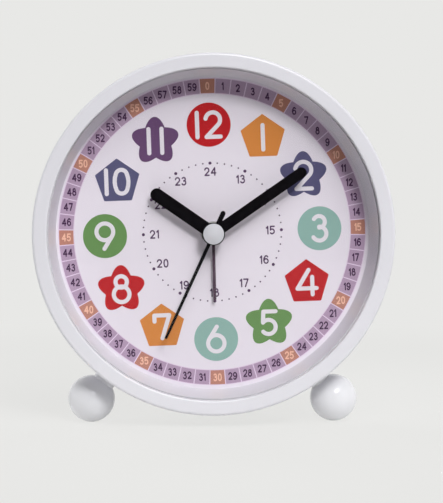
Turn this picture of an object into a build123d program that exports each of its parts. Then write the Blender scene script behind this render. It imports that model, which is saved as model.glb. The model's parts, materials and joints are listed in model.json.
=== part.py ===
from build123d import *
import os
from math import acos, atan2, cos, degrees, pi, radians, sin, sqrt, tan

# Educational alarm clock: a round case on two ball feet with a quartz alarm movement inside.
# Millimetres, +Z up, the dial faces -Y, the origin is on the floor under the middle of the clock.
# Pieces are drawn as the viewer sees them: x to the right, y up from the hands' axis, and z out of
# the dial's face towards the viewer, so what lies behind the face has a negative z.

# Case
case_diameter = 110.0
case_depth = 42.0
recess_share = 0.31
bezel_face = 4.6
bezel_wall = 1.3
bezel_lip = 2.0
bezel_depth = 9.0
bezel_edge_round = 0.9
bezel_lip_round = 0.6
bezel_rear_round = 0.4
lens_thickness = 1.6
dial_thickness = 1.0
plate_thickness = 1.6
fit_gap = 0.1
case_wall = 2.2
cone_lead = 0.2
cone_taper = 1.9
dial_seat = 1.3
groove_step = 0.3
groove_depth = 3.5
case_skirt = 7.0

# Rear cover
flange_thickness = 2.0
flange_round = 0.5
cover_wall = 2.0
cover_step = 3.6
cover_taper = 1.0
cover_back_round = 2.5
spigot_wall = 2.0
heel_width = 18.0
heel_depth = 7.0
heel_round = 2.0
slot_length = 10.0
slot_width = 1.2
slot_pitch = 2.4
slot_count = 5

# Screws
cover_boss_radius = 2.1
cover_screw_count = 4
cover_screw_radius = 0.85
cover_screw_length = 9.0
cover_head_radius = 1.6
cover_head_height = 1.3
screw_tip_room = 0.5
screw_slot_width = 0.5
screw_slot_depth = 0.5
lid_screw_radius = 0.8
lid_screw_length = 7.0
lid_head_radius = 1.7
lid_head_height = 0.7
foot_screw_radius = 1.2
foot_screw_length = 9.5
foot_head_radius = 2.2
foot_head_height = 1.2

# Ball feet
ball_diameter = 14.5
foot_neck = 2.9
foot_neck_radius = 3.5
foot_angle = 53.8
foot_setback = 3.0

# Hands, with the angles clockwise from the top
hand_thickness = 0.5
hand_gap_share = 0.192
hub_radius = 3.3
hour_hand_length = 23.0
hour_hand_width = 4.0
hour_hand_angle = 304.6
minute_hand_length = 34.4
minute_hand_width = 3.3
minute_hand_angle = 55.2
second_hand_length = 35.2
second_hand_root = 1.1
second_hand_tip = 0.8
second_tail_length = 7.7
second_tail_width = 1.5
second_hub_radius = 3.5
second_hand_angle = 204.6
alarm_hand_length = 20.7
alarm_hand_width = 0.9
alarm_hand_angle = 178.5
cap_diameter = 6.35
cap_height = 1.3
cap_edge = 0.6

# Movement: tubes and arbors, one inside the next
run_gap = 0.07
second_arbor_radius = 0.5
tube_wall = 0.55
bush_wall = 1.0
bush_rise = 0.9
bush_room = 0.2
pivot_radius = 0.5
pivot_depth = 1.2
setting_radius = 1.3
arbor_radius = 0.8
tube_rise = 0.3

# Movement: wheels in layers, counted back from the base plate
movement_depth_share = 0.37
wheel_thickness_share = 0.53
wheel_gap = 0.4
pinion_overhang = 0.3
backlash = 0.06
pressure_angle = 30.0
addendum_share = 0.8
dedendum_share = 1.15
third_distance = 12.75
third_angle = 330.0
fifth_distance = 12.6
fifth_angle = 185.0
rotor_distance = 7.2
rotor_angle = 250.0
minute_distance = 13.2
minute_angle = 125.0
alarm_distance = 15.0
alarm_angle = 40.0
second_pinion_teeth = 8
third_wheel_teeth = 60
third_pinion_teeth = 8
centre_wheel_teeth = 64
fifth_pinion_teeth = 8
second_wheel_teeth = 48
rotor_pinion_teeth = 8
fifth_wheel_teeth = 40
cannon_teeth = 10
minute_wheel_teeth = 30
minute_pinion_teeth = 8
hour_wheel_teeth = 32
alarm_pinion_teeth = 16
alarm_wheel_teeth = 40
spring_radius = 3.0
spring_thickness = 0.3

# Movement: housing and motor
base_thickness = 1.6
movement_wall = 1.2
wall_gap = 0.4
lid_thickness = 1.2
lid_gap = 1.3
post_radius = 2.2
lug_reach = 6.0
lug_width = 6.0
lug_thickness = 1.6
lug_setback = 4.0
magnet_radius = 2.5
magnet_length = 3.0
stator_half_length = 9.6
stator_width = 5.0
stator_pad_radius = 4.4
stator_thickness = 0.8
stator_leg = 3.6
rotor_air_gap = 0.4
core_width = 2.4
coil_gap = 0.25
coil_flange_radius = 2.7
coil_flange_thickness = 0.8
coil_wire_radius = 2.4
bobbin_wall = 0.5
coil_pin_radius = 0.35
coil_pin_offset = 2.4
stator_pin_radius = 0.7

# Circuit board and what it carries
board_stand = 0.8
board_thickness = 1.2
board_half_width = 20.5
board_top = 4.5
board_margin = 1.0
board_peg_radius = 0.8
board_peg_inset = 2.0
buzzer_radius = 6.0
buzzer_port_radius = 1.5
buzzer_port_share = 0.32
buzzer_room = 0.6
buzzer_x_share = 0.6
buzzer_y = -7.0
crystal_radius = 1.0
crystal_length = 6.0
crystal_y = 0.0
chip_radius = 3.2
chip_height = 1.1
chip_y = -10.0
switch_x_share = 0.6
switch_y = -7.0
switch_length = 9.6
switch_width = 4.6
switch_height_share = 0.53
switch_travel = 4.0
switch_stem_length = 2.6
switch_stem_width = 2.0
switch_stem_share = 0.6
switch_room = 0.25
switch_cap_length = 6.0
switch_cap_width = 4.4
switch_cap_height = 1.8
switch_cap_gap = 0.3
switch_rib_width = 0.6
switch_rib_depth = 0.5
switch_rib_count = 3

# Battery bay
battery_diameter = 14.5
battery_length = 50.5
battery_nub_radius = 2.75
battery_nub_length = 1.0
battery_edge_round = 0.8
battery_side_room = 0.45
battery_door_room = 1.55
battery_floor_room = 0.35
contact_room = 3.15
contact_thickness = 0.4
contact_width_share = 0.44
contact_bump_radius = 2.2
contact_drop = 4.7
contact_foot = 3.0
contact_lap = 2.5
contact_room_gap = 0.2
tub_wall = 1.2
tub_gap = 0.3
door_ledge = 1.0
door_gap = 0.25
door_corner = 4.0
door_seat_gap = 0.05
door_rib_height = 2.6
door_rib_wall = 1.2
door_rib_gap = 0.2
door_rib_share = 0.7
door_grip_radius = 0.6
door_grip_pitch = 2.4
door_grip_count = 3
door_grip_share = 0.25

# Knobs
knob_radius = 6.0
knob_height = 6.8
knob_gap = 0.6
knob_flutes = 18
knob_flute_radius = 0.7
knob_edge_round = 0.8
knob_socket_depth = 5.0

cut_over = 1.0
same_point = 1e-6

# Radii of the case, from the outside in
bezel_radius = case_diameter / 2
opening_radius = bezel_radius - bezel_face
bezel_bore = bezel_radius - bezel_wall
case_radius = bezel_bore - fit_gap
case_inner = case_radius - case_wall
cone_front = opening_radius - cone_lead
cone_rear = cone_front - cone_taper
dial_radius = cone_rear + dial_seat
groove_inner = dial_radius + groove_step
cover_radius = case_radius - cover_step
screw_circle = (cover_radius + case_radius) / 2
spigot_outer = screw_circle - cover_boss_radius - fit_gap
spigot_inner = spigot_outer - spigot_wall
cover_back_radius = cover_radius - cover_taper

# Stations along the axis, from the front to the back
bezel_front = case_depth * recess_share
lens_front = bezel_front - bezel_lip
case_front = lens_front - lens_thickness
bezel_rear = bezel_front - bezel_depth
dial_rear = -dial_thickness
plate_rear = dial_rear - plate_thickness
base_rear = plate_rear - base_thickness
flange_front = -case_skirt
flange_rear = flange_front - flange_thickness

# Wheels in layers between the base plate and the lid, and hands in the room under the lens
alarm_layer = 0
hour_layer = 1
minute_layer = 2
centre_layer = 3
third_layer = 4
second_layer = 5
fifth_layer = 6
movement_depth = case_depth * movement_depth_share
wheel_room = movement_depth - base_thickness - wheel_gap - lid_gap - lid_thickness
layer_pitch = wheel_room / (fifth_layer + wheel_thickness_share)
wheel_thickness = layer_pitch * wheel_thickness_share
hand_room = case_front - bush_rise - 4 * hand_thickness - cap_height
hand_gap = hand_room * hand_gap_share


def layer(index):
    front = base_rear - wheel_gap - index * layer_pitch
    return front - wheel_thickness, front


def pinion_span(index):
    back, front = layer(index)
    return back - pinion_overhang, front + pinion_overhang


lid_front = layer(fifth_layer)[0] - lid_gap
lid_rear = lid_front - lid_thickness
board_front = lid_rear - board_stand
board_rear = board_front - board_thickness
back_outer = bezel_front - case_depth
back_inner = back_outer + cover_wall
back_room = board_rear - back_inner
knob_front = back_outer - knob_gap
knob_rear = knob_front - knob_height
depth_middle = (bezel_front + knob_rear) / 2

# Heights of the hands over the dial, and the ends of their tubes
alarm_hand_back = bush_rise + hand_gap / 2
hour_hand_back = alarm_hand_back + hand_thickness + hand_gap
minute_hand_back = hour_hand_back + hand_thickness + hand_gap
second_hand_back = minute_hand_back + hand_thickness + hand_gap

# Tube radii, from the second arbor out
minute_tube_inner = second_arbor_radius + run_gap
minute_tube_outer = minute_tube_inner + tube_wall
hour_tube_inner = minute_tube_outer + run_gap
hour_tube_outer = hour_tube_inner + tube_wall
alarm_tube_inner = hour_tube_outer + run_gap
alarm_tube_outer = alarm_tube_inner + tube_wall
bush_inner = alarm_tube_outer + run_gap
bush_outer = bush_inner + bush_wall
dial_hole = bush_outer + bush_room


def polar(distance, angle):
    return Vector(distance * cos(radians(angle)), distance * sin(radians(angle)))


def ring_places(radius, count, first):
    return [polar(radius, first + 360 * i / count) for i in range(count)]


cover_screw_places = ring_places(screw_circle, cover_screw_count, 180 / cover_screw_count)

# Axes of the train as seen from the front, and the modules that their distances give
centre_at = Vector(0, 0)
third_at = polar(third_distance, third_angle)
fifth_at = polar(fifth_distance, fifth_angle)
rotor_at = fifth_at + polar(rotor_distance, rotor_angle)
minute_at = polar(minute_distance, minute_angle)
alarm_at = polar(alarm_distance, alarm_angle)
third_module = 2 * third_distance / (second_pinion_teeth + third_wheel_teeth)
centre_module = 2 * third_distance / (third_pinion_teeth + centre_wheel_teeth)
second_module = 2 * fifth_distance / (fifth_pinion_teeth + second_wheel_teeth)
fifth_module = 2 * rotor_distance / (rotor_pinion_teeth + fifth_wheel_teeth)
minute_module = 2 * minute_distance / (cannon_teeth + minute_wheel_teeth)
hour_module = 2 * minute_distance / (minute_pinion_teeth + hour_wheel_teeth)
alarm_module = 2 * alarm_distance / (alarm_pinion_teeth + alarm_wheel_teeth)


def tip_radius(teeth, module):
    return (teeth / 2 + addendum_share) * module


# Motor, beside the rotor
stator_middle = sum(layer(third_layer)) / 2
stator_front = stator_middle + stator_thickness / 2
stator_rear = stator_front - stator_thickness
core_rear = stator_rear - stator_thickness
core_middle = (stator_rear + core_rear) / 2
coil_y = rotor_at.Y - stator_pad_radius - coil_gap - coil_flange_radius
leg_offset = stator_half_length - stator_leg / 2
coil_half_length = stator_half_length - stator_leg - coil_gap
coil_pin_places = [rotor_at.X + side * coil_pin_offset for side in (-1, 1)]

# Movement housing, round the wheels and the motor
third_low = third_at.Y - tip_radius(third_wheel_teeth, third_module)
housing_low = min(third_low, coil_y - coil_flange_radius) - wall_gap - movement_wall
housing_high = minute_at.Y + tip_radius(minute_wheel_teeth, minute_module) + wall_gap + movement_wall
housing_side = stator_half_length - rotor_at.X + wall_gap + movement_wall
post_x = housing_side - movement_wall - post_radius / 2
post_high = housing_high - movement_wall - post_radius / 2
post_low = housing_low + movement_wall + post_radius / 2
post_places = [(-post_x, post_high), (post_x, post_high), (post_x, post_low), (-post_x, 0)]
lug_x = housing_side + lug_reach / 2
lug_front = plate_rear - lug_setback
lug_rear = lug_front - lug_thickness

# Circuit board
board_low = housing_low + board_margin
peg_x = board_half_width - board_peg_inset
buzzer_x = board_half_width * buzzer_x_share
buzzer_height = back_room - buzzer_room
buzzer_port_depth = buzzer_height * buzzer_port_share
switch_x = -board_half_width * switch_x_share
switch_height = back_room * switch_height_share
switch_stem_depth = switch_height * switch_stem_share
contact_width = back_room * contact_width_share
peg_high = board_top - board_peg_inset
peg_places = [(-peg_x, peg_high), (peg_x, peg_high), (0, board_low + board_peg_inset)]

# Battery bay, under the movement
battery_radius = battery_diameter / 2
tub_half_height = battery_radius + battery_side_room
tub_half_length = battery_length / 2 + contact_room
battery_y = housing_low - tub_gap - tub_wall - tub_half_height
battery_z = back_inner + battery_door_room + battery_radius
tub_front = battery_z + battery_radius + battery_floor_room

# Feet
ball_radius = ball_diameter / 2
foot_reach = case_radius + foot_neck + ball_radius
axis_height = foot_reach * sin(radians(foot_angle)) + ball_radius
foot_seat = sqrt(case_inner**2 - foot_head_radius**2)
foot_sides = {-1: "foot_left", 1: "foot_right"}


def outline(corners):
    """The face inside straight runs joined by tangent arcs. Each corner is (x, y, radius)."""
    edges = []
    ends = []
    for i, (x, y, radius) in enumerate(corners):
        here = Vector(x, y)
        back = (Vector(*corners[i - 1][:2]) - here).normalized()
        ahead = (Vector(*corners[(i + 1) % len(corners)][:2]) - here).normalized()
        if radius == 0:
            ends.append((here, here))
            continue
        half = radians(back.get_angle(ahead)) / 2
        reach = radius / tan(half)
        middle = here + (back + ahead).normalized() * (radius / sin(half) - radius)
        ends.append((here + back * reach, here + ahead * reach))
        edges.append(ThreePointArc(ends[-1][0], middle, ends[-1][1]))
    for i, (start, _) in enumerate(ends):
        if (start - ends[i - 1][1]).length > same_point:
            edges.append(Line(ends[i - 1][1], start))
    return make_face(edges)


def turned(corners):
    """A solid of revolution round the hands' axis. Each corner is (radius, z, rounding)."""
    return revolve(Plane.XZ * outline(corners), Axis.Z)


def raised(face, back, front):
    return Pos(0, 0, back) * extrude(face, front - back, dir=(0, 0, 1))


def disc(radius, back, front, x=0, y=0):
    return Pos(x, y, (back + front) / 2) * Cylinder(radius, front - back)


def ring(outer, inner, back, front, x=0, y=0):
    return disc(outer, back, front, x, y) - disc(inner, back - cut_over, front + cut_over, x, y)


def block(x0, x1, y0, y1, z0, z1):
    middle = ((x0 + x1) / 2, (y0 + y1) / 2, (z0 + z1) / 2)
    return Pos(*middle) * Box(abs(x1 - x0), abs(y1 - y0), abs(z1 - z0))


def rounded_rect(half_width, half_height, corner, x=0, y=0):
    sides = [(-1, -1), (1, -1), (1, 1), (-1, 1)]
    return outline([(x + i * half_width, y + j * half_height, corner) for i, j in sides])


def rod(radius, start, end):
    """A cylinder along x between two stations."""
    return Pos((start + end) / 2, 0, 0) * Rot(0, 90, 0) * Cylinder(radius, end - start)


def involute(angle):
    return tan(angle) - angle


def gear_face(teeth, module):
    """Involute teeth, the first one centred on +x."""
    pressure = radians(pressure_angle)
    pitch = teeth * module / 2
    base = pitch * cos(pressure)
    tip = tip_radius(teeth, module)
    root = pitch - dedendum_share * module
    start = max(base, root)
    half_tooth = (pi * module / 2 - backlash) / (2 * pitch)

    def flank(radius):
        return half_tooth + involute(pressure) - involute(acos(base / radius))

    def point(radius, angle):
        return Vector(radius * cos(angle), radius * sin(angle))

    edges = []
    for i in range(teeth):
        middle = 2 * pi * i / teeth
        later = middle + 2 * pi / teeth
        half = (start + tip) / 2
        rise = [point(r, middle - flank(r)) for r in (start, half, tip)]
        fall = [point(r, middle + flank(r)) for r in (tip, half, start)]
        foot_before = point(root, middle - flank(start))
        foot_after = point(root, middle + flank(start))
        edges.append(ThreePointArc(*rise))
        edges.append(Line(rise[-1], fall[0]))
        edges.append(ThreePointArc(*fall))
        if start > root:
            edges.append(Line(foot_before, rise[0]))
            edges.append(Line(fall[-1], foot_after))
        edges.append(Line(foot_after, point(root, later - flank(start))))
    return make_face(edges)


def gear(teeth, module, span, at, toward, gap=False):
    """A gear on its axis with a tooth, or a gap, on the line to the gear that it meshes with."""
    line = toward - at
    facing = degrees(atan2(line.Y, line.X))
    turn = facing + (180 / teeth if gap else 0)
    return Pos(at.X, at.Y, 0) * Rot(0, 0, turn) * raised(gear_face(teeth, module), *span)


def arbor(at, radius, back, front):
    return disc(radius, back, front, at.X, at.Y)


def make_bezel():
    return turned([
        (opening_radius, lens_front, 0),
        (bezel_bore, lens_front, 0),
        (bezel_bore, bezel_rear, 0),
        (bezel_radius, bezel_rear, bezel_rear_round),
        (bezel_radius, bezel_front, bezel_edge_round),
        (opening_radius, bezel_front, bezel_lip_round),
    ])


def make_lens():
    return disc(bezel_bore - fit_gap, case_front, lens_front)


def make_front_case():
    barrel = turned([
        (cone_front, case_front, 0),
        (cone_rear, 0, 0),
        (groove_inner, 0, 0),
        (groove_inner, groove_depth, 0),
        (case_inner, groove_depth, 0),
        (case_inner, flange_front, 0),
        (case_radius, flange_front, 0),
        (case_radius, case_front, 0),
    ])
    wall = ring(case_radius, spigot_outer + fit_gap, flange_front, groove_depth)
    for place in cover_screw_places:
        barrel += disc(cover_boss_radius, flange_front, groove_depth, place.X, place.Y) & wall
    for place in cover_screw_places:
        deep = flange_front - flange_thickness + cover_screw_length + screw_tip_room
        barrel -= disc(cover_screw_radius, flange_front - cut_over, deep, place.X, place.Y)
    for side in foot_sides:
        barrel -= foot_turn(side) * rod(foot_screw_radius + fit_gap, cone_rear, case_radius + cut_over)
    return barrel


def foot_turn(side):
    return Rot(0, 0, -90 + side * (90 - foot_angle)) * Pos(0, 0, -foot_setback)


def make_foot(side):
    ball = Pos(foot_reach, 0, 0) * Sphere(ball_radius)
    neck = rod(foot_neck_radius, case_inner, foot_reach)
    bore = rod(foot_screw_radius, case_inner, foot_seat + foot_screw_length + screw_tip_room)
    around = Cylinder(case_radius, 2 * ball_diameter)
    return foot_turn(side) * (ball + neck - around - bore)


def make_foot_screw(side):
    head = rod(foot_head_radius, foot_seat - foot_head_height, foot_seat)
    shank = rod(foot_screw_radius, foot_seat, foot_seat + foot_screw_length)
    back = foot_seat - foot_head_height
    wide = foot_head_radius + cut_over
    slot = block(
        back - cut_over, back + screw_slot_depth,
        -screw_slot_width / 2, screw_slot_width / 2,
        -wide, wide,
    )
    return foot_turn(side) * (head + shank - slot)


def make_screw(radius, length, head_radius, head_height, seat, place):
    """A screw driven from behind, its head against the seat."""
    x, y = place
    head = disc(head_radius, seat - head_height, seat, x, y)
    shank = disc(radius, seat, seat + length, x, y)
    slot = block(
        x - head_radius - cut_over, x + head_radius + cut_over,
        y - screw_slot_width / 2, y + screw_slot_width / 2,
        seat - head_height - cut_over, seat - head_height + screw_slot_depth,
    )
    return head + shank - slot


def make_dial():
    return ring(dial_radius, dial_hole, dial_rear, 0)


def make_dial_plate():
    plate = ring(dial_radius, dial_hole, plate_rear, dial_rear)
    for side in (-1, 1):
        plate += disc(post_radius, lug_front, plate_rear, side * lug_x)
        plate -= disc(lid_screw_radius, lug_front - cut_over, plate_rear, side * lug_x)
    return plate


def bay_cut():
    """The room for the cell, from the tub's floor out through the back."""
    return block(
        -tub_half_length, tub_half_length,
        battery_y - tub_half_height, battery_y + tub_half_height,
        back_outer - cut_over, tub_front,
    )


def door_face(gap):
    half_width = tub_half_length + door_ledge + gap
    return rounded_rect(half_width, tub_half_height + door_ledge + gap, door_corner, 0, battery_y)


def make_cover_shell():
    return turned([
        (spigot_inner, plate_rear, 0),
        (cover_back_radius - cover_wall, back_inner, cover_back_round - cover_wall / 2),
        (0, back_inner, 0),
        (0, back_outer, 0),
        (cover_back_radius, back_outer, cover_back_round),
        (cover_radius, flange_rear, 0),
        (case_radius, flange_rear, flange_round),
        (case_radius, flange_front, 0),
        (spigot_outer, flange_front, 0),
        (spigot_outer, plate_rear, 0),
    ])


def make_heel():
    """The moulded third foot under the back of the cover."""
    half = heel_width / 2
    top = -cover_back_radius + cover_wall
    face = outline([
        (-half, top, 0),
        (-half, -axis_height, heel_round),
        (half, -axis_height, heel_round),
        (half, top, 0),
    ])
    return raised(face, back_outer, back_outer + heel_depth) - disc(
        cover_back_radius - cover_wall, back_outer - cut_over, back_outer + heel_depth + cut_over
    )


def make_rear_cover():
    cover = make_cover_shell() + make_heel()
    tub = block(
        -tub_half_length - tub_wall, tub_half_length + tub_wall,
        battery_y - tub_half_height - tub_wall, battery_y + tub_half_height + tub_wall,
        back_outer + cover_wall / 2, tub_front + tub_wall,
    )
    cover += tub & disc(cover_back_radius, back_outer, tub_front + tub_wall)
    cover -= bay_cut()
    cover -= raised(door_face(door_gap), back_outer - cut_over, back_inner)
    for side in (-1, 1):
        cover -= contact_slot(side)
    for at in (minute_at, alarm_at):
        cover -= arbor(at, setting_radius + bush_room, back_outer - cut_over, back_inner + cut_over)
    for i in range(slot_count):
        level = buzzer_y + (i - (slot_count - 1) / 2) * slot_pitch
        face = rounded_rect(slot_length / 2, slot_width / 2, slot_width / 2, buzzer_x, level)
        cover -= raised(face, back_outer - cut_over, back_inner + cut_over)
    cover -= switch_slot(back_outer - cut_over, back_inner + cut_over)
    for place in cover_screw_places:
        hole = cover_screw_radius + fit_gap
        cover -= disc(hole, flange_rear - cut_over, flange_front + cut_over, place.X, place.Y)
    return cover


def make_battery_door():
    plate = raised(door_face(0), back_outer, back_inner - door_seat_gap)
    outer = tub_half_height - door_rib_gap
    reach = tub_half_length * door_rib_share
    for side in (-1, 1):
        plate += block(
            -reach, reach,
            battery_y + side * (outer - door_rib_wall), battery_y + side * outer,
            back_inner - cover_wall / 2, back_inner + door_rib_height,
        )
    for i in range(door_grip_count):
        level = battery_y + (i - (door_grip_count - 1) / 2) * door_grip_pitch
        half = tub_half_length * door_grip_share
        plate -= Pos(0, level, back_outer) * rod(door_grip_radius, -half, half)
    return plate


def contact_slot(side):
    """The way for a contact's strip through the roof of the battery bay."""
    inner = tub_half_length - contact_thickness - contact_room_gap
    roof = battery_y + tub_half_height
    return block(
        side * inner, side * tub_half_length,
        roof - cut_over, roof + tub_wall + cut_over,
        board_rear - contact_width - contact_room_gap, board_rear + contact_room_gap,
    )


def contact_strip(side):
    """A strip along the bay's end wall, up to a foot that lies on the circuit board."""
    inner = tub_half_length - contact_thickness
    foot_low = board_low + contact_room_gap
    upright = block(
        side * inner, side * tub_half_length,
        battery_y - contact_drop, foot_low + contact_foot,
        board_rear - contact_width, board_rear,
    )
    foot = block(
        side * (board_half_width - contact_lap), side * tub_half_length,
        foot_low, foot_low + contact_foot,
        board_rear - contact_thickness, board_rear,
    )
    return upright + foot


def make_contact_positive():
    strip = contact_strip(1)
    bump = Pos(0, battery_y, battery_z) * rod(
        contact_bump_radius, battery_length / 2, tub_half_length - contact_thickness
    )
    pad = block(
        tub_half_length - contact_thickness, tub_half_length,
        battery_y - contact_drop, battery_y + contact_drop,
        board_rear - contact_width, battery_z + contact_bump_radius,
    )
    return strip + pad + bump


def make_contact_negative():
    """The same strip with a leaf that bows out to the flat end of the cell."""
    wall = -tub_half_length + contact_thickness
    crown = -battery_length / 2 - contact_thickness
    low = battery_y - contact_drop
    high = battery_y + contact_drop
    leaf = make_face([
        ThreePointArc((-tub_half_length, low), (crown, battery_y), (-tub_half_length, high)),
        Line((-tub_half_length, high), (wall, high)),
        ThreePointArc((wall, high), (crown + contact_thickness, battery_y), (wall, low)),
        Line((wall, low), (-tub_half_length, low)),
    ])
    return contact_strip(-1) + raised(leaf, board_rear - contact_width, board_rear)


def make_battery():
    half = battery_length / 2
    body = rod(battery_radius, -half, half - battery_nub_length)
    body = fillet(body.edges().filter_by(GeomType.CIRCLE), battery_edge_round)
    nub = rod(battery_nub_radius, half - battery_nub_length - cut_over, half)
    return Pos(0, battery_y, battery_z) * (body + nub)


def hand_pose(angle):
    return Rot(0, 0, -angle)


def make_hand(length, width, hub, hole, back, angle):
    """A straight hand with a round end, on a round hub."""
    half = width / 2
    blade = outline([(-half, 0, 0), (half, 0, 0), (half, length, half), (-half, length, half)])
    front = back + hand_thickness
    hand = raised(blade, back, front) + disc(hub, back, front)
    return hand_pose(angle) * (hand - disc(hole, back - cut_over, front + cut_over))


def make_second_hand():
    root = second_hand_root / 2
    tip = second_hand_tip / 2
    tail = second_tail_width / 2
    blade = outline([
        (-tail, -second_tail_length, tail), (tail, -second_tail_length, tail),
        (tail, 0, 0), (root, 0, 0),
        (tip, second_hand_length, 0), (-tip, second_hand_length, 0),
        (-root, 0, 0), (-tail, 0, 0),
    ])
    front = second_hand_back + hand_thickness
    hand = raised(blade, second_hand_back, front) + disc(second_hub_radius, second_hand_back, front)
    hole = disc(second_arbor_radius, second_hand_back - cut_over, front + cut_over)
    return hand_pose(second_hand_angle) * (hand - hole)


def make_second_hand_cap():
    """A low dome over the second hand's hub, hollow where the arbor ends."""
    seat = second_hand_back + hand_thickness
    radius = cap_diameter / 2
    rise = cap_height - cap_edge
    dome = (radius**2 + rise**2) / (2 * rise)
    ball = Pos(0, 0, seat + cap_height - dome) * Sphere(dome)
    cap = disc(radius, seat, seat + cap_height) & ball
    return cap - disc(second_arbor_radius, seat - cut_over, seat + tube_rise)


def make_alarm_wheel():
    back, front = layer(alarm_layer)
    wheel = gear(alarm_wheel_teeth, alarm_module, (back, front), centre_at, alarm_at)
    tube_end = alarm_hand_back + hand_thickness + tube_rise
    wheel += disc(alarm_tube_outer, back, tube_end)
    return wheel - disc(alarm_tube_inner, back - cut_over, tube_end + cut_over)


def make_hour_wheel():
    back, front = layer(hour_layer)
    wheel = gear(hour_wheel_teeth, hour_module, (back, front), centre_at, minute_at)
    tube_end = hour_hand_back + hand_thickness + tube_rise
    wheel += disc(hour_tube_outer, back, tube_end)
    return wheel - disc(hour_tube_inner, back - cut_over, tube_end + cut_over)


def make_minute_arbor():
    span = pinion_span(minute_layer)
    back = layer(centre_layer)[0] - pinion_overhang
    tube_end = minute_hand_back + hand_thickness + tube_rise
    tube = gear(cannon_teeth, minute_module, span, centre_at, minute_at)
    tube += disc(minute_tube_outer, back, tube_end)
    return tube - disc(minute_tube_inner, back - cut_over, tube_end + cut_over)


def make_clutch_spring():
    """The friction washer between the cannon pinion and the centre wheel."""
    front = pinion_span(minute_layer)[0]
    return ring(spring_radius, minute_tube_outer, front - spring_thickness, front)


def make_centre_wheel():
    wheel = gear(centre_wheel_teeth, centre_module, layer(centre_layer), centre_at, third_at)
    back, front = layer(centre_layer)
    return wheel - disc(minute_tube_outer + run_gap, back - cut_over, front + cut_over)


def make_third_wheel():
    wheel = gear(third_wheel_teeth, third_module, layer(third_layer), third_at, centre_at, gap=True)
    span = pinion_span(centre_layer)
    wheel += gear(third_pinion_teeth, centre_module, span, third_at, centre_at, gap=True)
    return wheel + train_arbor(third_at)


def make_second_wheel():
    wheel = gear(second_wheel_teeth, second_module, layer(second_layer), centre_at, fifth_at)
    span = pinion_span(third_layer)
    wheel += gear(second_pinion_teeth, third_module, span, centre_at, third_at)
    return wheel + disc(second_arbor_radius, lid_rear, second_hand_back + hand_thickness + tube_rise)


def make_fifth_wheel():
    wheel = gear(fifth_wheel_teeth, fifth_module, layer(fifth_layer), fifth_at, rotor_at)
    span = pinion_span(second_layer)
    wheel += gear(fifth_pinion_teeth, second_module, span, fifth_at, centre_at, gap=True)
    return wheel + train_arbor(fifth_at)


def make_rotor_pinion():
    span = pinion_span(fifth_layer)
    pinion = gear(rotor_pinion_teeth, fifth_module, span, rotor_at, fifth_at, gap=True)
    return pinion + train_arbor(rotor_at)


def make_rotor_magnet():
    half = magnet_length / 2
    at = rotor_at
    return ring(magnet_radius, arbor_radius, stator_middle - half, stator_middle + half, at.X, at.Y)


def train_arbor(at):
    """An arbor between the base plate and the lid, with a thinner pivot in each."""
    body = arbor(at, arbor_radius, lid_front + fit_gap, base_rear - fit_gap)
    return body + arbor(at, pivot_radius, lid_rear, base_rear + pivot_depth)


def make_minute_wheel():
    wheel = gear(
        minute_wheel_teeth, minute_module, layer(minute_layer), minute_at, centre_at, gap=True
    )
    span = pinion_span(hour_layer)
    wheel += gear(minute_pinion_teeth, hour_module, span, minute_at, centre_at, gap=True)
    return wheel + setting_arbor(minute_at)


def make_alarm_set_arbor():
    span = pinion_span(alarm_layer)
    pinion = gear(alarm_pinion_teeth, alarm_module, span, alarm_at, centre_at, gap=True)
    return pinion + setting_arbor(alarm_at)


def setting_arbor(at):
    """An arbor that runs on through the lid and the cover to its knob."""
    body = arbor(at, setting_radius, knob_front - knob_socket_depth, base_rear - fit_gap)
    return body + arbor(at, pivot_radius, base_rear - wheel_gap, base_rear + pivot_depth)


def make_knob(at):
    knob = turned([
        (0, knob_rear, 0),
        (knob_radius, knob_rear, knob_edge_round),
        (knob_radius, knob_front, 0),
        (0, knob_front, 0),
    ])
    flutes = [
        disc(knob_flute_radius, knob_rear - cut_over, knob_front + cut_over, p.X, p.Y)
        for p in ring_places(knob_radius, knob_flutes, 0)
    ]
    knob -= flutes
    knob -= disc(setting_radius, knob_front - knob_socket_depth, knob_front + cut_over)
    return Pos(at.X, at.Y, 0) * knob


def housing_block(inset, back, front):
    return block(
        inset - housing_side, housing_side - inset,
        housing_low + inset, housing_high - inset, back, front,
    )


def make_movement_base():
    """The tray that holds the front pivots, with the bush that passes through the dial."""
    base = housing_block(0, lid_front, plate_rear)
    base -= housing_block(movement_wall, lid_front - cut_over, base_rear)
    base += disc(bush_outer, base_rear, bush_rise)
    base -= disc(bush_inner, lid_front, bush_rise + cut_over)
    inside = housing_block(0, lid_front, base_rear)
    for x, y in post_places:
        base += disc(post_radius, lid_front, base_rear, x, y) & inside
        base -= disc(lid_screw_radius, lid_front - cut_over, lid_rear + lid_screw_length, x, y)
    for at in (third_at, fifth_at, rotor_at, minute_at, alarm_at):
        deep = base_rear + pivot_depth + fit_gap
        base -= arbor(at, pivot_radius + run_gap, base_rear - cut_over, deep)
    for side in (-1, 1):
        x = rotor_at.X + side * leg_offset
        base += disc(core_width / 2, stator_front, base_rear, x, coil_y)
        base += disc(stator_pin_radius, core_rear, stator_front, x, coil_y)
        lug = block(
            side * (housing_side - movement_wall), side * (housing_side + lug_reach),
            -lug_width / 2, lug_width / 2, lug_rear, lug_front,
        )
        hole = lid_screw_radius + fit_gap
        base += lug - disc(hole, lug_rear - cut_over, lug_front + cut_over, side * lug_x)
    return base


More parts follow.
